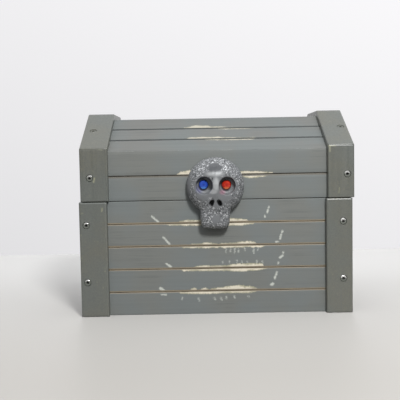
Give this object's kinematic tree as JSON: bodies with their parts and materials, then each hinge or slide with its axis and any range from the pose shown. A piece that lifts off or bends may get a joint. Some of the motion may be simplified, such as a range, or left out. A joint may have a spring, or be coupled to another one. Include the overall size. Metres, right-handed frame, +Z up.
{
  "type": "storage chest",
  "caption": "Slatted wooden treasure chest with a hinged hip-roofed lid, screwed wooden end straps and a skull ornament over the seam as its pull.",
  "frame": {"origin": "middle of the underside: halfway between the front and back straps' faces and between the ends, on the face it rests on", "axes": "+X to the right along the length, -Y to the front where the skull is, +Z up"},
  "size_m": [0.302, 0.2285, 0.2273],
  "materials": {
    "slat_paint": "grey painted softwood, worn to bare wood beside the joints",
    "strap_paint": "satin olive-grey painted softwood",
    "bare_wood": "unfinished plywood",
    "screw_steel": "zinc-plated steel",
    "hinge_brass": "brassed steel",
    "skull_silver": "moulded resin, pewter grey with silver glitter",
    "stone_blue": "faceted acrylic, polished",
    "stone_red": "faceted acrylic, polished"
  },
  "bodies": {
    "body": {"body_back_slat_1": "slat_paint", "body_back_slat_2": "slat_paint", "body_back_slat_3": "slat_paint", "body_back_slat_4": "slat_paint", "body_back_slat_5": "slat_paint", "body_end_left": "slat_paint", "body_end_right": "slat_paint", "body_front_slat_1": "slat_paint", "body_front_slat_2": "slat_paint", "body_front_slat_3": "slat_paint", "body_front_slat_4": "slat_paint", "body_front_slat_5": "slat_paint", "body_screw_front_left_lower": "screw_steel", "body_screw_front_left_upper": "screw_steel", "body_screw_front_right_lower": "screw_steel", "body_screw_front_right_upper": "screw_steel", "body_strap_back_left": "strap_paint", "body_strap_back_right": "strap_paint", "body_strap_front_left": "strap_paint", "body_strap_front_right": "strap_paint", "floor_board": "bare_wood", "hinge_left_body_leaf": "hinge_brass", "hinge_left_pin": "hinge_brass", "hinge_right_body_leaf": "hinge_brass", "hinge_right_pin": "hinge_brass"},
    "lid": {"eye_stone_blue": "stone_blue", "eye_stone_red": "stone_red", "hinge_left_lid_leaf": "hinge_brass", "hinge_right_lid_leaf": "hinge_brass", "lid_back_slat_1": "slat_paint", "lid_back_slat_2": "slat_paint", "lid_back_slope_slat_1": "slat_paint", "lid_back_slope_slat_2": "slat_paint", "lid_back_slope_slat_3": "slat_paint", "lid_end_left": "slat_paint", "lid_end_right": "slat_paint", "lid_front_slat_1": "slat_paint", "lid_front_slat_2": "slat_paint", "lid_front_slope_slat_1": "slat_paint", "lid_front_slope_slat_2": "slat_paint", "lid_front_slope_slat_3": "slat_paint", "lid_screw_front_left": "screw_steel", "lid_screw_front_right": "screw_steel", "lid_screw_front_slope_left": "screw_steel", "lid_screw_front_slope_right": "screw_steel", "lid_strap_back_left": "strap_paint", "lid_strap_back_right": "strap_paint", "lid_strap_back_slope_left": "strap_paint", "lid_strap_back_slope_right": "strap_paint", "lid_strap_front_left": "strap_paint", "lid_strap_front_right": "strap_paint", "lid_strap_front_slope_left": "strap_paint", "lid_strap_front_slope_right": "strap_paint", "lid_strap_top_left": "strap_paint", "lid_strap_top_right": "strap_paint", "lid_top_slat_1": "slat_paint", "lid_top_slat_2": "slat_paint", "lid_top_slat_3": "slat_paint", "skull": "skull_silver"}
  },
  "joints": [
    {"name": "lid_hinge", "type": "hinge", "parent": "body", "child": "lid", "pos_m": [0, 0.1066, 0.12735], "axis": [-1, 0, 0], "range_deg": [0, 180]}
  ]
}
